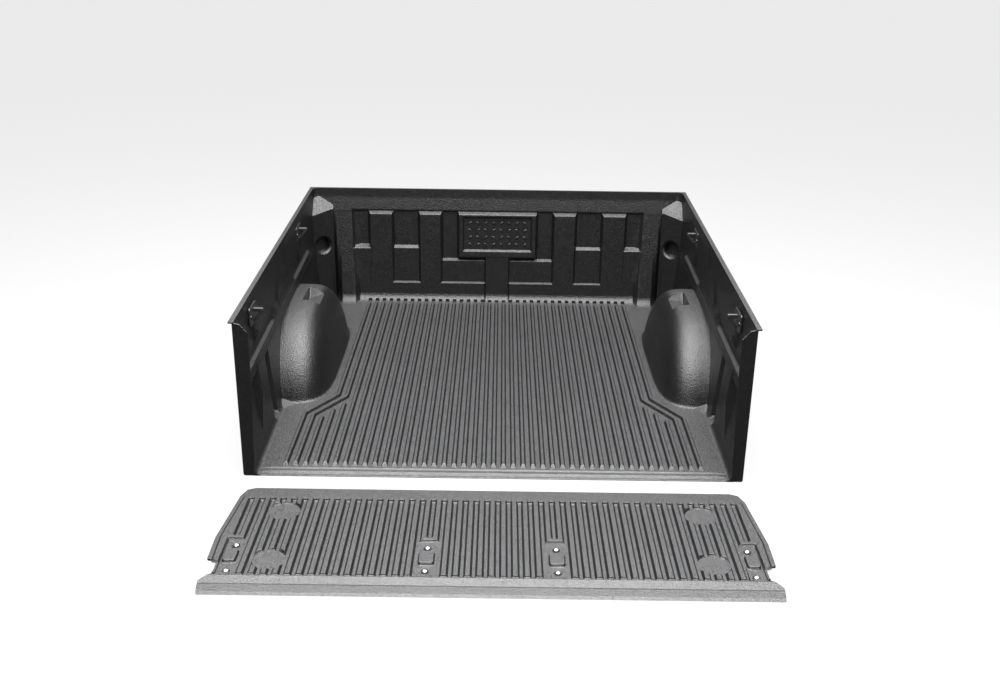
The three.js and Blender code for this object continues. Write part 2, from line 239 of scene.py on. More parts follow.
def box_outline(x0, x1, y0, y1, corner, rear=1.0, front=1.0, steps=3):
    """Rounded rectangle; rear and front stretch the slope of those two ends."""
    samples = corner_arc(x1 - corner, y1 - corner, 0, 90, corner, steps, (1, front))
    samples += corner_arc(x0 + corner, y1 - corner, 90, 180, corner, steps, (1, front))
    samples += corner_arc(x0 + corner, y0 + corner, 180, 270, corner, steps, (1, rear))
    samples += corner_arc(x1 - corner, y0 + corner, 270, 360, corner, steps, (1, rear))
    return Outline(samples)


def round_outline(x, y, radius, steps=40):
    return Outline(corner_arc(x, y, 0, 360 - 360 / steps, radius, steps - 1))


def path_outline(path, half, corner, rear=1.0, front=1.0):
    """Outline of a strip along a path that runs from rear to front."""
    path = np.asarray(path, float)
    step = np.diff(path, axis=0)
    step /= np.linalg.norm(step, axis=1)[:, None]
    tangent = np.vstack([step[:1], step[:-1] + step[1:], step[-1:]])
    tangent /= np.linalg.norm(tangent, axis=1)[:, None]
    side = np.column_stack([tangent[:, 1], -tangent[:, 0]])
    (x0, y0), (x1, y1) = path[0], path[-1]
    inner = half - corner
    samples = corner_arc(x0 + inner, y0 + corner, 270, 360, corner, 3, (1, rear))
    samples += [(tuple(p), tuple(n), half) for p, n in zip(path[1:-1], side[1:-1])]
    samples += corner_arc(x1 + inner, y1 - corner, 0, 90, corner, 3, (1, front))
    samples += corner_arc(x1 - inner, y1 - corner, 90, 180, corner, 3, (1, front))
    samples += [(tuple(p), tuple(-n), half) for p, n in zip(path[-2:0:-1], side[-2:0:-1])]
    samples += corner_arc(x0 - inner, y0 + corner, 180, 270, corner, 3, (1, rear))
    return Outline(samples)


def polygon_outline(points, radius, steps=4):
    """Rounded outline of a polygon given anticlockwise, hollow corners included; it offsets evenly."""
    points = [np.array(p, float) for p in points]
    samples = []
    for i, here in enumerate(points):
        arrive = here - points[i - 1]
        leave = points[(i + 1) % len(points)] - here
        arrive, leave = arrive / np.linalg.norm(arrive), leave / np.linalg.norm(leave)
        start = math.atan2(-arrive[0], arrive[1])
        turn = (math.atan2(-leave[0], leave[1]) - start + math.pi) % (2 * math.pi) - math.pi
        inward = (leave - arrive) / np.linalg.norm(leave - arrive)
        centre = here + inward * radius / math.cos(turn / 2)
        signed = math.copysign(radius, turn)
        for k in range(steps + 1):
            a = start + turn * k / steps
            samples.append((tuple(centre), (math.cos(a), math.sin(a)), signed))
    return Outline(samples)


def stack(outline, profile):
    """Closed body from rings of an outline, one for each offset and height in the profile."""
    rings = [outline.ring(offset, z) for offset, z in profile]
    return loft(rings)


def loft(rings):
    """Closed body through rings that have the same number of points."""
    count = len(rings[0])
    faces = [tuple(range(count))[::-1]]
    for level in range(len(rings) - 1):
        a, b = level * count, (level + 1) * count
        for i in range(count):
            j = (i + 1) % count
            faces.append((a + i, a + j, b + j, b + i))
    last = (len(rings) - 1) * count
    faces.append(tuple(range(last, last + count)))
    return np.vstack(rings), faces


def swept_across(section, half):
    """A section in Y and Z swept across the truck."""
    return loft([np.array([(x, y, z) for y, z in section]) for x in (-half, half)])


SINK = 0.05  # a body starts this far under the surface that it stands on


def boss(outline, base, profile):
    """Raised body on a surface at height base."""
    rings = [(profile[0][0], base - 1.5)]
    rings += [(offset, base + z - SINK) for offset, z in profile]
    return stack(outline, rings)


def pocket(outline, surface, profile):
    """Cutter for a recess that goes down from a surface."""
    rings = [(profile[0][0], surface + 1.5)]
    rings += [(offset, surface - z + SINK) for offset, z in profile]
    return stack(outline, rings)


def slab(us, vs, near, far, place):
    """Closed sheet over a grid: near and far give its two faces, and place makes points."""
    u, v = np.meshgrid(us, vs, indexing="ij")
    n, m = u.shape
    points = np.vstack([place(u, v, near(u, v)).reshape(-1, 3), place(u, v, far(u, v)).reshape(-1, 3)])
    faces = []
    top = n * m
    for i in range(n - 1):
        for j in range(m - 1):
            a = i * m + j
            quad = (a, a + m, a + m + 1, a + 1)
            faces.append(quad)
            faces.append(tuple(top + k for k in quad[::-1]))
    rim = [i * m for i in range(n)] + [(n - 1) * m + j for j in range(1, m)]
    rim += [i * m + m - 1 for i in range(n - 2, -1, -1)] + [j for j in range(m - 2, 0, -1)]
    for a, b in zip(rim, rim[1:] + rim[:1]):
        faces.append((a, top + a, top + b, b))
    return points, faces


def soft(u, width):
    """max(u, 0) with its corner rounded over width either side."""
    return np.where(u < -width, 0.0, np.where(u > width, u, (u + width) ** 2 / (4 * width)))


def ramp(v, start, end, width=2.0):
    """0 before start and 1 after end, straight between, with rounded ends. start is below end."""
    return (soft(v - start, width) - soft(v - end, width)) / (end - start)


def fillet(distance, radius):
    """How far a hollow rounding of this radius stands off one face, at a distance from the other."""
    left = radius - np.clip(distance, 0, radius)
    return radius - np.sqrt(radius**2 - left**2)


def grid_lines(low, high, step, *edges, width=2.0):
    """Grid coordinates: even steps, and three lines at both ends of every ramp in edges."""
    fixed = {low, high}
    for start, end in edges:
        for corner in (start, end):
            fixed.update(corner + k * width for k in (-1.0, 0.0, 1.0))
    fixed = sorted(v for v in fixed if low <= v <= high)
    lines = [fixed[0]]
    for v in fixed[1:]:
        gap = v - lines[-1]
        if gap < 0.3:
            continue
        count = max(1, math.ceil(gap / step))
        start = lines[-1]
        lines += [start + gap * k / count for k in range(1, count + 1)]
    if lines[-1] < high:
        lines[-1] = high
    return np.array(lines)


# ---- tub: floor
def rib_path(index):
    """Centre line of a rib from its rear end to its front end."""
    x = RIB_PITCH * index
    number = abs(index)
    if number in SHORT_RIBS:
        return [(x, -1.0), (x, SHORT_RIBS[number])]
    if number > LAST_RIB - 2:
        start = JOG_START - 12 * (LAST_RIB - number)
        shifted = x - math.copysign(JOG_SHIFT, index)
        bends = [(x, -1.0), (x, start), (shifted, start + JOG_RUN), (shifted, RIB_END)]
        return rounded(bends, 34, 6)
    return [(x, -1.0), (x, RIB_END)]


REAR_SLOPE = 12.0  # the rear end of a rib slopes over this length
RIB_HALF = 6.7  # half width of a rib at mid height
RIB_PROFILE = edge_profile(-FLOOR, 1.6, 1.3, 5.0)


def rib(index):
    outline = path_outline(rib_path(index), RIB_HALF, 3.0)
    return boss(outline, FLOOR, RIB_PROFILE)


def all_ribs():
    """The ribs, with their rear ends sloped."""
    ribs = solid("ribs", gather([rib(i) for i in ALL_RIBS]))
    reach = REAR_SLOPE * 1.3
    slope = [(-20, FLOOR - 4), (0, FLOOR - 0.5), (REAR_SLOPE - 2, -1.2), (reach, 0.4), (-20, 3)]
    return combine(ribs, "DIFFERENCE", swept_across(slope, 720.0))


def rib_hollow(index):
    """The underside of a rib, one sheet thickness inside it."""
    path = np.array(rib_path(index), float)
    path[0][1] += 14
    path[-1][1] -= 6
    outline = path_outline(path, RIB_HALF - 3.0, 1.0)
    return stack(outline, [(1.0, REST - 3), (-0.5, -SHEET)])


def rear_lip():
    """Two beads along the rear edge, which then turns down."""
    rings = []
    for x, share in [(-758, 0.1), (-742, 0.35), (-712, 1.0), (712, 1.0), (742, 0.35), (758, 0.1)]:
        beads = [(-13, 4.6), (-19, 4.6), (-25, 1.6), (-33, 1.6), (-38, 5.2), (-45, 5.2)]
        crest = [(y, FLOOR + rise * share) for y, rise in beads]
        line = [(-4, -10.2), (-9, -10.2), *crest, (-58, -10.2), (-64, -11.5), (REAR, REST)]
        line = rounded(line, 4.0, 3)
        closed = [*line, (-4, REST)]
        rings.append(np.array([(x, y, z) for y, z in closed]))
    return loft(rings)


def floor_plate():
    front = HALF_WIDTH + TAPER * (DEEP - REAR)
    plan = [(-HALF_WIDTH, REAR + 6), (HALF_WIDTH, REAR + 6), (front, DEEP), (-front, DEEP)]
    return stack(polygon_outline(plan, 1.0, 1), [(0, REST), (0, FLOOR)])


# ---- tub: side walls
def side_plane(y, z):
    """The inner face of a side wall before anything is formed in it."""
    lean = np.interp(z, [REST, 258, 302, WALL_TOP], [0, 25, 26, 29])
    return HALF_WIDTH + TAPER * (y - REAR) + lean


RAIL = {"low": (253, 262), "high": (300, 308), "stand": 16.0, "end": 1372.0}
SLOT = {"from": 340.0, "to": 388.0, "top": 258.0, "deep": 15.0}
PILLARS = [(1084.0, 1112.0, 345.0, 402.0), (206.0, 246.0, 352.0, 396.0)]  # under the cleats
UPPER_PANEL = [307, 363, 404, 419, 483], [621, 629, 680, 821, 849]  # height, and where it starts
HUMP_AT = [448, 478, 553, 640, 731, 830, 902, 975, 1005]
HUMP_TOP = [262, 300, 330, 335, 338, 342, 345, 300, 262]


def side_face(y, z):
    """Inner face of a side wall, as a distance from the middle of the truck."""
    stand = RAIL["stand"] * np.minimum(ramp(z, *RAIL["low"]), 1 - ramp(z, *RAIL["high"]))
    stand = stand - 4.0 * np.exp(-(((z - 281) / 8.0) ** 2))
    stand = stand * (1 - ramp(y, RAIL["end"] - 14, RAIL["end"], 6.0))
    for y0, y1, z0, z1 in PILLARS:
        pillar = np.minimum(ramp(y, y0 - 8, y0), 1 - ramp(y, y1, y1 + 8))
        pillar = np.minimum(pillar, np.minimum(ramp(z, z0 - 14, z0), 1 - ramp(z, z1 - 12, z1)))
        stand = np.maximum(stand, 14.0 * pillar)
    panel = np.minimum(ramp(z, 312, 322), 1 - ramp(z, 480, 492))
    panel = ramp(y - np.interp(z, *UPPER_PANEL), -5, 5) * panel * (1 - ramp(y, 1240, 1262))
    stand = np.maximum(stand, 6.0 * panel)
    top = np.interp(y, HUMP_AT, HUMP_TOP)
    stand = np.maximum(stand, 11.0 * np.minimum(ramp(z, 270, 280), 1 - ramp(z, top - 5, top + 5)))
    slot = np.minimum(ramp(y, SLOT["from"] - 6, SLOT["from"]), 1 - ramp(y, SLOT["to"], SLOT["to"] + 6))
    slot = np.minimum(slot, 1 - ramp(z, SLOT["top"] - 10, SLOT["top"])) * ramp(z, -7, 6)
    column = np.minimum(ramp(y, 138, 142), 1 - ramp(y, 196 - 0.16 * (285 - z), 202 - 0.16 * (285 - z)))
    column = np.minimum(column, 1 - ramp(z, 272, 290)) * np.clip((z - 40) / 130, 0, 1)
    stand = np.maximum(stand, 20.0 * column) - SLOT["deep"] * slot
    face = side_plane(y, z) - stand
    corner = DEEP - 22 * (1 - ramp(z, 395, 472))
    face = face - fillet(corner - y, 24.0) * ramp(z, 400, 470)
    face = face - fillet(z - FLOOR, 20.0) * (1 - slot)
    flange = np.interp(z, [REST, 40, 240, 480, WALL_TOP], [0.0, 10.0, 37.0, 41.0, 0.5])
    return face - np.minimum(flange, fillet(y - REAR - 4, 14.0))


def behind_side(y, z):
    """Outer face of a side wall, set out behind the slot."""
    slot = (y > SLOT["from"] - 9) & (y < SLOT["to"] + 9) & (z < SLOT["top"])
    return side_plane(y, z) + SHEET + SLOT["deep"] * slot


def side_wall(side):
    lengths = [(REAR + 4, REAR + 10), (138, 142), (190, 202), (DEEP - 40, DEEP - 22), (DEEP - 16, DEEP)]
    lengths += [(SLOT["from"] - 6, SLOT["from"]), (SLOT["to"], SLOT["to"] + 6)]
    ys = grid_lines(REAR, DEEP + 3, 15, *lengths)
    zs = grid_lines(
        REST, WALL_TOP, 14, (FLOOR, FLOOR + 3), (FLOOR + 8, FLOOR + 16), RAIL["low"], RAIL["high"],
        (SLOT["top"] - 10, SLOT["top"]), (272, 290),
    )
    return slab(ys, zs, side_face, behind_side, lambda y, z, x: np.stack([side * x, y, z], axis=-1))


def rear_flange(side):
    inner = [(HALF_WIDTH, REST), (HALF_WIDTH - 2, 20), (748, 240), (746, 470), (770, 498)]
    edge = [(side * x, z) for x, z in [*inner, (793, 503), (793, REST)]]
    if side > 0:
        edge.reverse()
    line = polygon_outline(edge, 6.0, 3)
    rings = []
    for offset, y in [(-1.0, REAR), (0, REAR + 1), (0, REAR + SHEET)]:
        ring = line.ring(offset, 0)
        rings.append(np.column_stack([ring[:, 0], np.full(len(ring), y), ring[:, 1]]))
    return loft(rings)


def top_flange():
    """The narrow flange round the tops of the three walls."""
    y0, y1 = REAR, DEEP + 12
    x0, x1 = HALF_WIDTH + 29, HALF_WIDTH + 59
    outer = [(-x0 - 16, y0), (x0 + 16, y0), (x1 + 15, y1), (-x1 - 15, y1)]
    inner = [(-x0 - 1.5, y0 - 20), (x0 + 1.5, y0 - 20), (x1 + 1.5, DEEP + 1.5), (-x1 - 1.5, DEEP + 1.5)]
    flange = stack(polygon_outline(outer, 2.0, 2), [(0, WALL_TOP - SHEET), (0, WALL_TOP)])
    opening = stack(polygon_outline(inner, 14.0), [(0, WALL_TOP - 20), (0, WALL_TOP + 20)])
    return combine(solid("top_flange", flange), "DIFFERENCE", opening)


# ---- tub: front wall
STEP = 24.0
HALF_PANELS = [  # from, to, lip height, rise of the ledge, share of STEP
    (254, 347, 396, 12, 1.0),
    (472, 570, 396, 12, 1.0),
    (347, 472, 237, 7, 0.5),
    (570, 652, 237, 12, 1.0),
    (56, 254, 180, 6, 0.5),
    (56, 654, 77, 5, 1.0),
]
CORNER = {"inner": 737.0, "stand": 22.0, "turn": 0.73, "top": 414.0, "rise_out": 0.518, "rise_front": 1.034}
HOLE = {"x": 777.0, "z": 255.0, "r": 35.0, "deep": 36.0}


def bump(x, z, x0, x1, z0, z1, sides, rise):
    """1 on a raised rectangle, and down to 0 over its drafted sides and its sloped top and foot."""
    across = np.minimum(ramp(x, x0 - sides, x0), 1 - ramp(x, x1, x1 + sides))
    up = np.minimum(ramp(z, z0 - rise, z0), 1 - ramp(z, z1, z1 + rise))
    return np.minimum(across, up)


def front_face(x, z):
    """How far the front wall stands in front of its deepest panels."""
    a = np.abs(x)
    stand = 8.0 * ramp(z, 403, 410) * (1 - ramp(z, 412, 466, 6.0))
    for x0, x1, lip, rise, share in HALF_PANELS:
        stand = np.maximum(stand, STEP * share * bump(a, z, x0, x1, -60, lip, 9, rise))
    middle = STEP * bump(x, z, -172, 172, 200, 396, 8, 12)
    middle = np.maximum(middle, STEP * 0.9 * bump(x, z, -52, 52, -60, 205, 8, 3))
    inset = bump(x, z, -150, 150, 232, 381, 4, 5)
    stand = np.maximum(stand, middle) - INSET * inset
    share = np.clip(z / 400, 0, 1)  # the posts lean back into the header
    face = 54 - 44 * share
    into = ramp(a, 605 + 38 * share, 640 + 12 * share)
    out = 1 - ramp(a, 700 + 33 * share, 738 + 5 * share)
    top = 1 - ramp(z, 404, 470, 8.0)
    stand = np.maximum(stand, face * np.minimum(np.minimum(into, out), top))
    return stand


LOZENGE = {"half_long": 11.0, "half_wide": 5.0, "columns": 8, "rows": 4, "across": 35.0, "up": 33.0}
LOZENGE_MIDDLE = 306.5
LOZENGE_PROFILE = [(1.0, -1.5), (1.0, 0.0), (0.92, 1.2), (0.72, 2.4), (0.4, 3.0)]  # share of size, and rise
INSET = 9.0  # how deep the field inside the middle panel is


def lozenge(x, z, turn):
    base = DEEP - STEP + INSET
    rings = []
    for share, rise in LOZENGE_PROFILE:
        ring = []
        for k in range(24):
            c, d = math.cos(math.pi * k / 12), math.sin(math.pi * k / 12)
            u = LOZENGE["half_long"] * share * math.copysign(abs(c) ** 1.3, c)
            v = LOZENGE["half_wide"] * share * math.copysign(abs(d) ** 1.3, d)
            east, north = u * math.cos(turn) - v * math.sin(turn), u * math.sin(turn) + v * math.cos(turn)
            ring.append((x + east, base - rise, z + north))
        rings.append(np.array(ring))
    return loft(rings)


def tread_pattern():
    """Rows of raised lozenges that lean in turn to either side, inside the middle panel."""
    bodies = []
    for row in range(LOZENGE["rows"]):
        z = LOZENGE_MIDDLE + LOZENGE["up"] * (row - (LOZENGE["rows"] - 1) / 2)
        for column in range(LOZENGE["columns"]):
            x = LOZENGE["across"] * (column - (LOZENGE["columns"] - 1) / 2)
            bodies.append(lozenge(x, z, math.radians(45 if (row + column) % 2 else -45)))
    return gather(bodies)


def corner_block(side):
    """The face set across the corner, with the sloped triangle that closes its top."""
    inner, outer = CORNER["inner"], 826
    near, back = DEEP - CORNER["stand"], DEEP + 2
    turned_edge = near - CORNER["turn"] * (outer - inner)
    plan = [(inner - 4, back), (inner - 4, near), (inner, near), (outer, turned_edge), (outer, back)]
    body = solid("corner", loft([np.array([(side * x, y, z) for x, y in plan]) for z in (REST, 490.0)]))
    cut = []
    for x, y in [(700, 1500), (860, 1500), (860, 1700), (700, 1700)]:
        z = CORNER["top"] + CORNER["rise_out"] * (x - inner) + CORNER["rise_front"] * (y - near)
        cut.append((side * x, y, z))
    cut = np.array(cut, float)
    return combine(body, "DIFFERENCE", loft([cut, cut + [0, 0, 400.0]]))


def front_wall():
    edges = []
    for x0, x1, *_ in HALF_PANELS:
        edges += [(x0 - 9, x0), (x1, x1 + 9)]
    edges += [(44, 52), (150, 154), (172, 180)]
    edges += [(605, 640), (640, 652), (700, 738), (733, 745), (720, 735)]
    edges += [(-b, -a) for a, b in edges]
    xs = grid_lines(-824, 824, 24, *edges)
    heights = [(FLOOR, FLOOR + 3), (FLOOR + 8, FLOOR + 16), (FLOOR + 24, FLOOR + 34)]
    heights += [(77, 82), (180, 186), (200, 206), (227, 232), (237, 249)]
    heights += [(381, 386), (396, 408), (403, 411), (412, 416), (462, 470)]
    zs = grid_lines(REST, WALL_TOP, 20, *heights)
    return slab(
        xs, zs,
        lambda x, z: DEEP - front_face(x, z) - fillet(z - FLOOR, 40.0) * (np.abs(x) < 778),
        lambda x, z: DEEP + SHEET - np.maximum(0, front_face(x, z) - 1.5) * (z > 42) * (z < 470),
        lambda x, z, y: np.stack([x, y, z], axis=-1),
    )


CUP_SHELL = [(4.0, 5.0), (4.0, 40.0)]  # offsets from the radius of the hole, and depths along its axis
CUP_BORE = [(13.0, -12.0), (9.0, -1.0), (8.0, 0.6), (1.4, 7.2), (0.4, 8.6), (0, 10.5), (-1.0, HOLE["deep"])]


def corner_cup(side, profile):
    """The deep round recess in the corner face, or the shell that closes it behind."""
    turn = math.atan(CORNER["turn"])
    axis = np.array([side * math.sin(turn), math.cos(turn), 0.0])
    across = np.array([math.cos(turn), -side * math.sin(turn), 0.0])
    stand = CORNER["stand"] + CORNER["turn"] * (HOLE["x"] - CORNER["inner"])
    centre = np.array([side * HOLE["x"], DEEP - stand, HOLE["z"]])
    angles = np.linspace(0, 2 * math.pi, 49)[:-1]
    rings = []
    for offset, depth in profile:
        radius = HOLE["r"] + offset
        ring = centre + axis * depth + radius * np.cos(angles)[:, None] * across
        ring[:, 2] += radius * np.sin(angles)
        rings.append(ring)
    return loft(rings)


def drain_pocket(index):
    """The gap that stops the fillet at the front end of a rib."""
    x = rib_path(index)[-1][0]
    outline = box_outline(x - 8.5, x + 8.5, RIB_END - 4, 1619, 2.5)
    return stack(outline, [(0, FLOOR + SINK), (0, 30)])


# ---- tub: wheel wells
def well_ring(z, inset):
    """Plan outline of a wheel well at one height, closed behind the side wall."""
    height = 262.0 - inset
    share = min(max(z, 0.0) / height, 0.9995)
    flare = max(0.0, 1 - max(z, 0) / 240)
    front, rear = 388.0 - inset + 34.0 * flare, 358.0 - inset + 64.0 * flare
    n, m = 2.4, 4.2
    reach = (1 - share**n) ** (1 / n)
    ring = []
    count = 44
    for k in range(count + 1):
        angle = math.pi * k / count
        c = math.cos(angle)
        along = math.copysign(abs(c) ** (2 / 3.2), c) * reach
        q = (abs(along) ** n + share**n) ** (1 / n)
        out = max(0.0, 1 - min(q, 1.0) ** m) ** (1 / m)
        wide = 178.0 - inset - 0.13 * max(z, 0)
        ring.append((792.0 - wide * out, 905.0 - (rear if c > 0 else front) * along))
    return ring


def wheel_well(side, inset):
    levels = [math.sin(math.pi / 2 * k / 26) ** (2 / 2.4) for k in range(27)]
    height = 262.0 - inset
    back = 800.0 + (40.0 if inset else 0.0)
    rings = []

    def add(plan, z, grow):
        plan = np.array(plan)
        if grow:
            tangent = np.gradient(plan, axis=0)
            tangent /= np.linalg.norm(tangent, axis=1)[:, None] + 1e-9
            plan = plan + grow * np.column_stack([-tangent[:, 1], tangent[:, 0]])
        closed = [(back, plan[0][1]), *plan, (back, plan[-1][1])]
        rings.append(np.array([(side * x, y, z) for x, y in closed]))

    base = well_ring(0.0, inset)
    if inset:
        add(base, REST - 5, 0.0)
    else:
        foot = 13.0
        add(base, FLOOR - 2, foot + 0.5)
        for k in range(7):
            a = math.pi / 2 * k / 6
            z = FLOOR - SINK + foot * (1 - math.cos(a))
            add(well_ring(max(z, 0.0), inset), z, foot * (1 - math.sin(a)))
    for level in levels:
        z = level * height
        if inset or z > FLOOR + 15:
            add(well_ring(z, inset), z, 0.0)
    return loft(rings)


def well_gusset(side):
    """The small three-sided face where a wheel well meets the floor and the side wall."""
    top = [(775, 556, 34), (800, 556, 34), (800, 560, 34)]
    foot = [(708, 492, FLOOR - 0.3), (764, 424, FLOOR - 0.3), (800, 560, FLOOR - 0.3)]
    return loft([np.array([(side * x, y, z) for x, y, z in ring]) for ring in (foot, top)])


WELL_NOTCH = {"x": (560.0, 742.0), "y": (852.0, 976.0), "z": 221.0, "fall": -0.3}


def well_notch(side, grow):
    """The square notch let into the top of a wheel well towards the cab."""
    xs = sorted(side * x for x in WELL_NOTCH["x"])
    rear, front = WELL_NOTCH["y"]
    outline = box_outline(xs[0] - grow, xs[1] + grow, rear - grow, front + grow, 5.0, 1.0, 12.0)
    low = WELL_NOTCH["z"] - grow
    rings = []
    for offset, z in [(-0.5, low), (-0.2, low + 0.6), (0, low + 3), (3.6, low + 45)]:
        ring = outline.ring(offset, z)
        ring[:, 2] -= WELL_NOTCH["fall"] * (WELL_NOTCH["x"][1] - np.abs(ring[:, 0]))
        rings.append(ring)
    return loft(rings)


def make_tub():
    tub = solid("tub_shell", floor_plate())
    combine(tub, "UNION", rear_lip())
    front = solid("front", front_wall())
    combine(front, "UNION", tread_pattern())
    combine(front, "DIFFERENCE", gather([drain_pocket(i) for i in ALL_RIBS if abs(i) not in SHORT_RIBS]))
    combine(tub, "UNION", front)
    for side in (-1, 1):
        well = solid("well", wheel_well(side, 0.0))
        combine(well, "DIFFERENCE", well_notch(side, 0.0))
        combine(tub, "UNION", side_wall(side))
        combine(tub, "UNION", rear_flange(side))
        combine(tub, "UNION", well)
        combine(tub, "UNION", well_gusset(side))
        combine(tub, "UNION", corner_block(side))
        combine(tub, "UNION", corner_cup(side, CUP_SHELL))
        combine(tub, "DIFFERENCE", corner_cup(side, CUP_BORE))
    combine(tub, "UNION", top_flange())
    combine(tub, "UNION", all_ribs())
    combine(tub, "DIFFERENCE", gather([rib_hollow(i) for i in ALL_RIBS]))
    for side in (-1, 1):
        hollow = solid("well_hollow", wheel_well(side, SHEET))
        combine(hollow, "DIFFERENCE", well_notch(side, SHEET))
        combine(tub, "DIFFERENCE", hollow)
    return tub


# ---- tailgate liner
PLATE_TOP = -7.0  # border of the tailgate liner
PLATEAU = -2.0  # tops of the strips between its grooves
GROOVE_FLOOR = -10.0
GROOVE = {"pitch": 32.5, "half": 7.0, "near": -227.0, "far": -641.0, "short": -440.0, "outermost": 22.5}
SHORT_GROOVES = (5.5, 22.5)
DISCS = [(620.0, -296.0), (615.0, -560.0)]
DISC_RADIUS = 50.0
RECESS = {"near": -455.0, "far": -641.0, "spans": [(146.0, 212.0), (698.0, 751.0)]}
PAD = {"near": -513.0, "far": -575.0, "end_near": -630.0, "end_far": -650.0}
PAD_SPANS = [(160.0, 203.0), (707.0, 743.0)]
SCREW_SPOTS = [(181.5, -492.0), (181.5, -609.0), (721.0, -490.0), (721.0, -619.0)]
SCREW_HOLE = 3.4

GROOVE_DEPTH = PLATEAU - GROOVE_FLOOR
GROOVE_WALL = [(3.4, 0.0), (3.0, 0.25), (2.6, 0.9), (-2.3, 7.3), (-2.7, 7.8), (-3.3, GROOVE_DEPTH)]
SOFT_WALL = [(3.6, 0), (2.6, 0.3), (0.8, 1.9), (0.2, 2.8), (0, 4.2), (-3.4, 7.6), (-4.4, GROOVE_DEPTH)]
PLATE_PLAN = [(757, -655), (757, -566), (787, -560), (791, -446), (772, -207), (758, -167), (733, -155)]
PLATEAU_PLAN = [(741, -655), (741, -582), (770, -572), (775, -446), (757, -215), (742, -197)]
LIP_PLAN = [(778, -724.5), (786, -668), (757, -640), (757, -628)]
LIP_SECTION = [(-625, -2.4), (-641, -2.0), (-650, 0), (-678, -8.4), (-684, -6.4), (-714, -9.8), (-724, -14)]
LIP_CREASE = [(-634, 2), (-636, -4.4), (-639.5, -5.0), (-646.5, -0.3), (-646.5, 2)]
GROOVE_END = [(-233.5, -12), (-233, -10.1), (-229.6, -7.6), (-222, -7.2), (-222, -12)]


def mirrored(half):
    """A closed anticlockwise plan from its right half, which runs from the rear to the front."""
    return [*half, *[(-x, y) for x, y in reversed(half)]]


def lip():
    """The crest and bead at the free edge."""
    line = rounded(LIP_SECTION, 6.0, 4)
    body = solid("lip", swept_across([*line, (-625, REST)], 800.0))
    plan = polygon_outline(mirrored(LIP_PLAN), 4.0)
    return combine(body, "INTERSECT", stack(plan, [(0, REST), (0, -9.5), (-1.5, -7.6), (-2.0, 4.0)]))


GROOVE_PLACES = [number - GROOVE["outermost"] for number in range(int(2 * GROOVE["outermost"]) + 1)]


def grooves(grow, make):
    """Every long groove, with make turning an outline into a body."""
    bodies = []
    half, near = GROOVE["half"] + grow, GROOVE["near"] + grow
    for place in GROOVE_PLACES:
        x = GROOVE["pitch"] * place
        far = GROOVE["short"] if abs(place) in SHORT_GROOVES else GROOVE["far"]
        bodies.append(make(box_outline(x - half, x + half, far - grow, near, 4.0, 1, 0.4, 5)))
    return gather(bodies)


def groove_bevels():
    """The bevel over the end of every groove towards the hinge."""
    half, near = GROOVE["half"], GROOVE["near"]
    bodies = []
    for place in GROOVE_PLACES:
        x = GROOVE["pitch"] * place
        outline = box_outline(x - half, x + half, near - 6, near + 2.0, 2.0, 0.1)
        bodies.append(stack(outline, [(0, PLATEAU - 2.2), (3.2, PLATEAU + 1.0)]))
    return gather(bodies)


def discs(grow, make):
    spots = [(side * x, y) for side in (-1, 1) for x, y in DISCS]
    return gather([make(round_outline(x, y, DISC_RADIUS + grow, 56)) for x, y in spots])


def recesses(grow, make):
    bodies = []
    for side in (-1, 1):
        for inner, outer in RECESS["spans"]:
            x0, x1 = sorted((side * (inner - grow), side * (outer + grow)))
            bodies.append(make(box_outline(x0, x1, RECESS["far"] - grow, RECESS["near"] + grow, 2.5)))
    return gather(bodies)


def pads():
    """Raised pads between the screws and at the crest."""
    profile = edge_profile(GROOVE_DEPTH, 2.2, 1.8, 2.6)
    bodies = []
    for side in (-1, 1):
        for inner, outer in PAD_SPANS:
            x0, x1 = sorted((side * inner, side * outer))
            middle = box_outline(x0, x1, PAD["far"], PAD["near"], 9.0, 2.2, 1.2)
            bodies.append(boss(middle, GROOVE_FLOOR, profile))
            end = box_outline(x0, x1, PAD["end_far"], PAD["end_near"], 7.0, 1.0, 1.2)
            bodies.append(boss(end, GROOVE_FLOOR, profile))
    return gather(bodies)


def trough(outline):
    """The solid that keeps material under a groove or recess."""
    return stack(outline, [(0, REST - 9), (0, PLATEAU)])


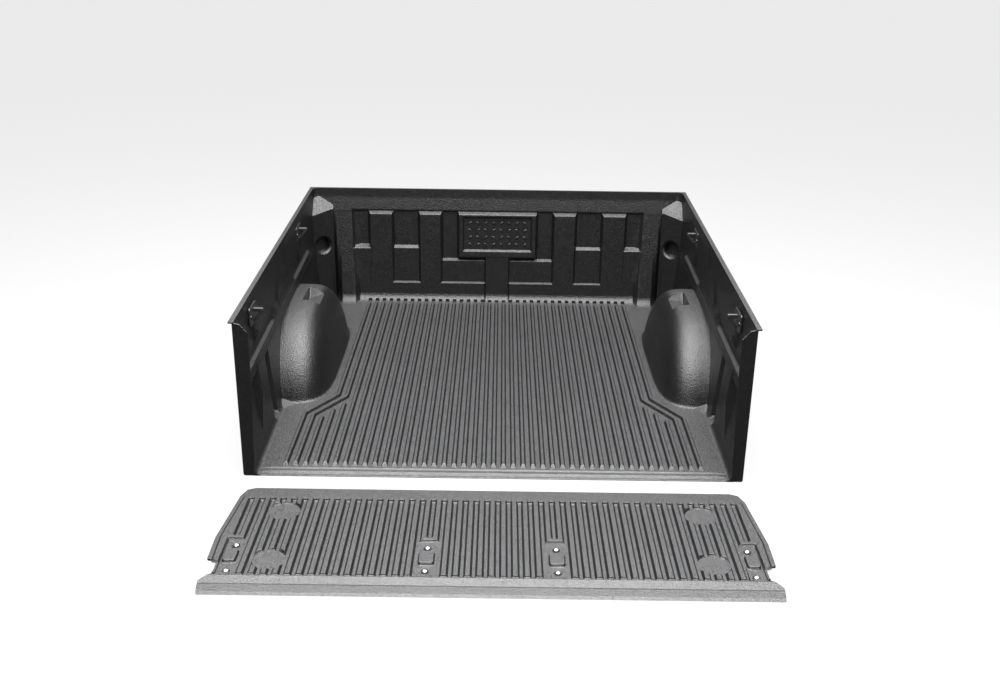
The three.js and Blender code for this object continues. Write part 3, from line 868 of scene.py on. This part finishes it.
def make_tailgate_liner():
    plate = polygon_outline(mirrored(PLATE_PLAN), 7.0)
    rim = [(0, -3.2), (-0.8, -1.2), (-2.4, -0.2), (-4.0, 0)]
    rim = [(0, REST)] + [(offset, PLATE_TOP + z) for offset, z in rim]
    liner = solid("tailgate_sheet", stack(plate, rim))
    plateau = polygon_outline(mirrored(PLATEAU_PLAN), 9.0)
    combine(liner, "UNION", boss(plateau, PLATE_TOP, edge_profile(PLATEAU - PLATE_TOP, 2.5, 2.5, 7.0)))
    combine(liner, "UNION", lip())
    combine(liner, "DIFFERENCE", swept_across(LIP_CREASE, 741.0))
    combine(liner, "DIFFERENCE", grooves(0.0, lambda outline: pocket(outline, PLATEAU, GROOVE_WALL)))
    combine(liner, "DIFFERENCE", groove_bevels())
    combine(liner, "DIFFERENCE", discs(0.0, lambda outline: pocket(outline, PLATEAU, SOFT_WALL)))
    combine(liner, "DIFFERENCE", recesses(0.0, lambda outline: pocket(outline, PLATEAU, SOFT_WALL)))
    combine(liner, "UNION", swept_across(GROOVE_END, 738.0))
    combine(liner, "UNION", pads())
    cavity = solid("cavity", stack(plateau, [(-6.0, REST - 6), (-6.0, PLATEAU - SHEET)]))
    for body in (grooves(SHEET, trough), discs(SHEET, trough), recesses(SHEET, trough)):
        combine(cavity, "DIFFERENCE", body)
    combine(liner, "DIFFERENCE", cavity)
    under_lip = [(-655, REST - 4), (-655, -5.5), (-672, -9.8), (-676, REST - 4)]
    combine(liner, "DIFFERENCE", swept_across(under_lip, 745.0))
    holes = [round_outline(side * x, y, SCREW_HOLE, 20) for side in (-1, 1) for x, y in SCREW_SPOTS]
    combine(liner, "DIFFERENCE", gather([stack(hole, [(0, REST - 3), (0, 3)]) for hole in holes]))
    mend(liner)
    return liner


# ---- screws, bolts and washers
def turned(profile, place, lobes, steps=36):
    """Turned body from (radius, height) pairs; lobes gives each ring a six-lobed share."""
    angles = np.arange(steps) * 2 * math.pi / steps
    rings = []
    for (radius, height), lobe in zip(profile, lobes):
        reach = radius * (1 + lobe * np.cos(6 * angles))
        ring = [reach * np.cos(angles), reach * np.sin(angles), np.full(steps, height)]
        rings.append(place(np.column_stack(ring)))
    return loft(rings)


def dome_fastener(name, shank, length, head, dome, place):
    """Dome-headed fastener with a six-lobed drive; its head stands on height 0 and place maps it."""
    profile = [(shank * 0.6, -length), (shank, -length + 1.2), (shank, 0), (head * 0.97, 0)]
    profile += [(head, 0.04 * dome), (head, 0.12 * dome), (head * 0.985, 0.22 * dome)]
    for k in range(1, 8):
        a = math.radians(12 + 62 * k / 8)
        profile.append((head * math.cos(a), dome * (0.12 + 0.88 * math.sin(a))))
    lobes = [0.0] * len(profile)
    drive = 0.27 * head
    profile += [(drive * 1.08, dome * 0.97), (drive, dome * 0.93)]
    profile += [(drive * 0.96, dome * 0.45), (drive * 0.7, dome * 0.36)]
    lobes += [0.13, 0.16, 0.16, 0.1]
    return solid(name, turned(profile, place, lobes))


def washer(name, hole, radius, thick, place, steps=44):
    """A flat washer with rounded edges."""
    r = 0.32 * thick
    profile = [(hole, r), (hole + r, 0), (radius - r, 0), (radius, r), (radius, thick - r)]
    profile += [(radius - 0.3 * r, thick - 0.3 * r), (radius - r, thick)]
    profile += [(hole + r, thick), (hole, thick - r)]
    count = len(profile)
    points, faces = [], []
    for k in range(steps):
        a = 2 * math.pi * k / steps
        points += [(radius_k * math.cos(a), radius_k * math.sin(a), w) for radius_k, w in profile]
        nxt = (k + 1) % steps
        for i in range(count):
            j = (i + 1) % count
            faces.append((k * count + i, k * count + j, nxt * count + j, nxt * count + i))
    return solid(name, (place(np.array(points)), faces))


WASHER = {"hole": 3.4, "radius": 11.0, "thick": 1.5}
SCREW = {"shank": 2.8, "head": 8.0, "dome": 4.8}
BOLT = {"shank": 3.0, "length": 21.5, "head": 7.0, "dome": 3.8, "half_spacing": 38.0}
FIT = 0.3  # clearance between a fastener and what it stands on


def tailgate_hardware(materials):
    spots = [(side * x, y) for x, y in SCREW_SPOTS for side in (-1, 1)]
    for number, (x, y) in enumerate(spots, 1):
        washer_z = GROOVE_FLOOR + FIT
        head_z = washer_z + WASHER["thick"] + FIT
        ring = washer(f"flat_washer_{number}", *WASHER.values(), lambda p: p + [x, y, washer_z])
        screw = dome_fastener(
            f"dome_screw_{number}", SCREW["shank"], head_z - REST - 0.6, SCREW["head"], SCREW["dome"],
            lambda p: p + [x, y, head_z],
        )
        finish_piece(ring, materials["washer"], "tailgate", f"tailgate_washer_{number}")
        finish_piece(screw, materials["screw"], "tailgate", f"tailgate_screw_{number}")


# ---- tie-down cleats
CLEAT_Z = 440.0
CLEAT_PLATE = {"half_long": 48.0, "half_high": 32.0, "thick": 6.0}
LOOP = [(3, -24), (12, -24), (39.5, 11), (39.5, 22), (3, 22)]
EYE = [(-3, -12), (8.5, -12), (28, 12), (-3, 12)]


def tie_down(name, side, y, face):
    """A bevelled plate with a loop that stands out from it; face is where its back lies."""
    def place(points):
        out, up, along = points[:, 0], points[:, 1], points[:, 2]
        return np.column_stack([side * (face - out), y + along, CLEAT_Z + up])

    half, high, thick = CLEAT_PLATE.values()
    outline = box_outline(-high, high, -half, half, 10.0, steps=5)
    rings = []
    bevel = [(-1.0, 0), (0, 1.0), (0, thick - 2.0), (-0.5, thick - 0.9), (-1.6, thick - 0.2), (-2.8, thick)]
    for offset, out in bevel:
        rings.append(place(outline.ring(offset, out)[:, [2, 0, 1]]))
    cleat = solid(name, loft(rings))
    loop = polygon_outline(LOOP, 5.5, 5)
    rounding = [(-3.2, -7.0), (-1.2, -6.3), (-0.2, -4.9), (0, -3.6)]
    rounding += [(offset, -along) for offset, along in reversed(rounding)]
    loop = solid("loop", loft([place(loop.ring(offset, along)) for offset, along in rounding]))
    eye = polygon_outline(EYE, 3.5)
    flare = [(6.0, -9.0), (3.0, -7.0), (1.2, -6.2), (0.2, -4.9), (0, -3.6)]
    flare += [(offset, -along) for offset, along in reversed(flare)]
    combine(loop, "DIFFERENCE", loft([place(eye.ring(offset, along)) for offset, along in flare]))
    combine(cleat, "UNION", loop)
    countersink = [(0, -2), (0, thick - 0.6), (1.2, thick + 0.6)]
    for end in (-1, 1):
        hole = round_outline(0, end * BOLT["half_spacing"], 3.6, 20)
        cutter = loft([place(hole.ring(offset, out)[:, [2, 0, 1]]) for offset, out in countersink])
        combine(cleat, "DIFFERENCE", cutter)
    return cleat


def bed_hardware(materials):
    for end, y in (("rear", 190.0), ("front", 1150.0)):
        for side, label in ((-1, "left"), (1, "right")):
            node = f"tie_down_cleat_{end}_{label}"
            low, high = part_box(node)
            face = max(abs(low.x), abs(high.x)) / MM
            cleat = tie_down(f"cleat_{end}_{label}", side, y, face)
            finish_piece(cleat, materials["cleat"], "tub", node, 40)
            head = face - CLEAT_PLATE["thick"] - FIT
            for number, step in ((1, -1), (2, 1)):
                spot = np.array([side * head, y + step * BOLT["half_spacing"], CLEAT_Z])
                name = f"bolt_{end}_{label}_{number}"
                bolt = dome_fastener(
                    name, BOLT["shank"], BOLT["length"], BOLT["head"], BOLT["dome"],
                    lambda p: spot + np.column_stack([-side * p[:, 2], p[:, 0], p[:, 1]]),
                )
                finish_piece(bolt, materials["bolt"], "tub", f"cleat_{name}", 40)


# ---- materials
def shader(name):
    material = bpy.data.materials.new(name)
    material.use_nodes = True
    tree = material.node_tree
    return material, tree.nodes, tree.links, tree.nodes["Principled BSDF"]


def noise(nodes, links, coord, scale, detail, roughness=0.5):
    node = nodes.new("ShaderNodeTexNoise")
    node.inputs["Scale"].default_value = scale
    node.inputs["Detail"].default_value = detail
    node.inputs["Roughness"].default_value = roughness
    links.new(coord, node.inputs["Vector"])
    return node


def spread(nodes, links, source, low, high, start=0.0, end=1.0):
    """Maps a value between start and end onto low to high."""
    node = nodes.new("ShaderNodeMapRange")
    node.inputs["From Min"].default_value = start
    node.inputs["From Max"].default_value = end
    node.inputs["To Min"].default_value = low
    node.inputs["To Max"].default_value = high
    links.new(source, node.inputs["Value"])
    return node.outputs["Result"]


def tones(nodes, links, source, stops):
    """A colour ramp from (position, grey) stops."""
    node = nodes.new("ShaderNodeValToRGB")
    ramp_stops = node.color_ramp.elements
    while len(ramp_stops) < len(stops):
        ramp_stops.new(0.5)
    for element, (position, colour) in zip(ramp_stops, stops):
        element.position = position
        element.color = (*colour, 1)
    links.new(source, node.inputs["Fac"])
    return node.outputs["Color"]


def times(nodes, links, first, second):
    node = nodes.new("ShaderNodeMath")
    node.operation = "MULTIPLY"
    links.new(first, node.inputs[0])
    links.new(second, node.inputs[1])
    return node.outputs["Value"]


def relief(nodes, links, source, strength, distance, under=None):
    node = nodes.new("ShaderNodeBump")
    node.inputs["Strength"].default_value = strength
    node.inputs["Distance"].default_value = distance
    links.new(source, node.inputs["Height"])
    if under is not None:
        links.new(under, node.inputs["Normal"])
    return node.outputs["Normal"]


def sheet_plastic():
    """Black polyethylene: pebble grain, a faint forming ripple, and painted light in its colour: level
    faces painted lighter and steep faces painted darker, with random mottle.
    """
    material, nodes, links, bsdf = shader("moulded_sheet")
    source = nodes.new("ShaderNodeTexCoord")
    coord = source.outputs["Object"]
    grain = nodes.new("ShaderNodeTexVoronoi")
    grain.feature = "SMOOTH_F1"
    grain.inputs["Scale"].default_value = 340.0
    grain.inputs["Smoothness"].default_value = 0.6
    links.new(coord, grain.inputs["Vector"])
    ripple = noise(nodes, links, coord, 9.0, 2.0)
    coarse = relief(nodes, links, ripple.outputs["Fac"], 0.25, 0.004)
    speck = noise(nodes, links, coord, 170.0, 3.0, 0.6)
    coarse = relief(nodes, links, speck.outputs["Fac"], 0.5, 0.0026, coarse)
    pebbles = relief(nodes, links, grain.outputs["Distance"], 0.75, 0.0012, coarse)
    links.new(pebbles, bsdf.inputs["Normal"])

    # Painted light: the base colour follows how far a face points up, so tops read lit and steep walls and
    # groove sides read in painted shade; mottle and cloud add random tone.
    facing = nodes.new("ShaderNodeSeparateXYZ")
    links.new(source.outputs["Normal"], facing.inputs["Vector"])
    level = spread(nodes, links, facing.outputs["Z"], 0.0, 1.0, 0.78, 0.985)
    scuff = noise(nodes, links, coord, 5.0, 6.0, 0.6)
    cloud = spread(nodes, links, scuff.outputs["Fac"], 0.85, 1.1, 0.3, 0.7)
    mottle = spread(nodes, links, speck.outputs["Fac"], 0.35, 1.5, 0.36, 0.64)
    painted_top_light_and_mottle = times(nodes, links, times(nodes, links, level, mottle), cloud)
    # Painted shade near black for steep faces, painted top light in dark grey for level faces.
    tone = tones(nodes, links, painted_top_light_and_mottle, [(0.0, (0.003, 0.003, 0.0031)), (1.0, (0.037, 0.037, 0.038))])
    links.new(tone, bsdf.inputs["Base Color"])
    fine = noise(nodes, links, coord, 60.0, 5.0, 0.65)
    links.new(spread(nodes, links, fine.outputs["Fac"], 0.32, 0.46, 0.3, 0.7), bsdf.inputs["Roughness"])
    bsdf.inputs["Specular IOR Level"].default_value = 0.5
    return material


def painted_metal():
    """Black powder coat with an orange-peel skin and patchy wear in its tone and roughness."""
    material, nodes, links, bsdf = shader("powder_coat")
    coord = nodes.new("ShaderNodeTexCoord").outputs["Object"]
    peel = noise(nodes, links, coord, 700.0, 2.0)
    links.new(relief(nodes, links, peel.outputs["Fac"], 0.3, 0.0004), bsdf.inputs["Normal"])
    wear = noise(nodes, links, coord, 55.0, 5.0, 0.6)
    stops = [(0.35, (0.011, 0.011, 0.012)), (0.7, (0.02, 0.02, 0.021))]
    tone = tones(nodes, links, wear.outputs["Fac"], stops)
    links.new(tone, bsdf.inputs["Base Color"])
    links.new(spread(nodes, links, wear.outputs["Fac"], 0.28, 0.46, 0.3, 0.7), bsdf.inputs["Roughness"])
    return material


def plated_steel(name, dark, bright, smooth, dull):
    """Plated steel: fine turning marks, cloudy plating and a few duller spots."""
    material, nodes, links, bsdf = shader(name)
    coord = nodes.new("ShaderNodeTexCoord").outputs["Object"]
    marks = noise(nodes, links, coord, 1500.0, 3.0)
    links.new(relief(nodes, links, marks.outputs["Fac"], 0.15, 0.0002), bsdf.inputs["Normal"])
    cloud = noise(nodes, links, coord, 120.0, 4.0, 0.6)
    tone = tones(nodes, links, cloud.outputs["Fac"], [(0.3, dark), (0.7, bright)])
    links.new(tone, bsdf.inputs["Base Color"])
    links.new(spread(nodes, links, cloud.outputs["Fac"], smooth, dull, 0.3, 0.7), bsdf.inputs["Roughness"])
    bsdf.inputs["Metallic"].default_value = 1.0
    return material


def dress(obj, material, angle=32):
    obj.data.materials.clear()
    obj.data.materials.append(material)
    for face in obj.data.polygons:
        face.use_smooth = True
    obj.data.set_sharp_from_angle(angle=math.radians(angle))
    weighted = obj.modifiers.new("weighted", "WEIGHTED_NORMAL")
    weighted.keep_sharp = True


def finish_piece(obj, material, body, node, angle=32):
    """Gives a piece its material and its body, and hides the node that it stands for."""
    dress(obj, material, angle)
    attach(obj, body)
    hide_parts(node)


# ---- stage
def soft_box(name, y, length, power):
    """A wide light above the part that points straight down."""
    data = bpy.data.lights.new(name, "AREA")
    data.shape = "RECTANGLE"
    data.size, data.size_y = 4.4, length
    data.energy = power
    lamp = bpy.data.objects.new(name, data)
    bpy.context.scene.collection.objects.link(lamp)
    lamp.location = (0, y, 3.4)


def stage():
    bm = bmesh.new()
    bmesh.ops.create_grid(bm, x_segments=4, y_segments=4, size=60)
    mesh = bpy.data.meshes.new("floor_sheet")
    bm.to_mesh(mesh)
    bm.free()
    floor = bpy.data.objects.new("floor_sheet", mesh)
    bpy.context.scene.collection.objects.link(floor)
    floor.location.z = -0.001
    material, _, _, bsdf = shader("pale_floor")
    bsdf.inputs["Base Color"].default_value = (0.05, 0.05, 0.05, 1)
    bsdf.inputs["Roughness"].default_value = 0.9
    bsdf.inputs["Emission Color"].default_value = (1, 1, 1, 1)
    bsdf.inputs["Emission Strength"].default_value = 0.8
    mesh.materials.append(material)
    floor.visible_diffuse = False
    floor.visible_glossy = False
    world = bpy.data.worlds.new("studio")
    world.use_nodes = True
    sky = world.node_tree.nodes["Background"].inputs
    sky["Color"].default_value = (0.95, 0.97, 1.0, 1)
    sky["Strength"].default_value = 0.2
    bpy.context.scene.world = world
    soft_box("overhead", -0.42, 3.2, 700.0)
    soft_box("rear_strip", -2.75, 1.3, 250.0)
    bpy.context.scene.view_settings.view_transform = "Standard"


def camera():
    yaw, pitch, roll = math.radians(0.113), math.radians(21.758), math.radians(0.827)
    forward = Vector((math.sin(yaw) * math.cos(pitch), math.cos(yaw) * math.cos(pitch), -math.sin(pitch)))
    right = Vector((math.cos(yaw), -math.sin(yaw), 0))
    up = right.cross(forward)
    turned_right = math.cos(roll) * right + math.sin(roll) * up
    turned_up = math.cos(roll) * up - math.sin(roll) * right
    data = bpy.data.cameras.new("camera")
    data.sensor_width = 36.0
    data.lens = 40.14
    cam = bpy.data.objects.new("camera", data)
    bpy.context.scene.collection.objects.link(cam)
    place = (np.array([9.5, -3204.5, 1679.8]) + SHIFT) * MM
    axes = Matrix((turned_right, turned_up, -forward)).transposed().to_4x4()
    cam.matrix_world = Matrix.Translation(Vector(place)) @ axes
    data.clip_start, data.clip_end = 0.1, 200.0
    bpy.context.scene.camera = cam


# ---- the whole scene
materials = {
    "sheet": sheet_plastic(),
    "cleat": painted_metal(),
    "bolt": plated_steel("black_zinc", (0.05, 0.05, 0.055), (0.09, 0.09, 0.095), 0.3, 0.42),
    "screw": plated_steel("bright_zinc", (0.62, 0.63, 0.66), (0.78, 0.79, 0.8), 0.2, 0.34),
    "washer": plated_steel("black_washer", (0.02, 0.02, 0.022), (0.04, 0.04, 0.043), 0.35, 0.5),
}
tub = make_tub()
dress(tub, materials["sheet"])
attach(tub, "tub")
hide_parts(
    "bed_floor", "front_wall", "left_side_wall", "right_side_wall", "left_wheel_well", "right_wheel_well"
)
gate = make_tailgate_liner()
finish_piece(gate, materials["sheet"], "tailgate", "tailgate_liner")
tailgate_hardware(materials)
bed_hardware(materials)
stage()
camera()
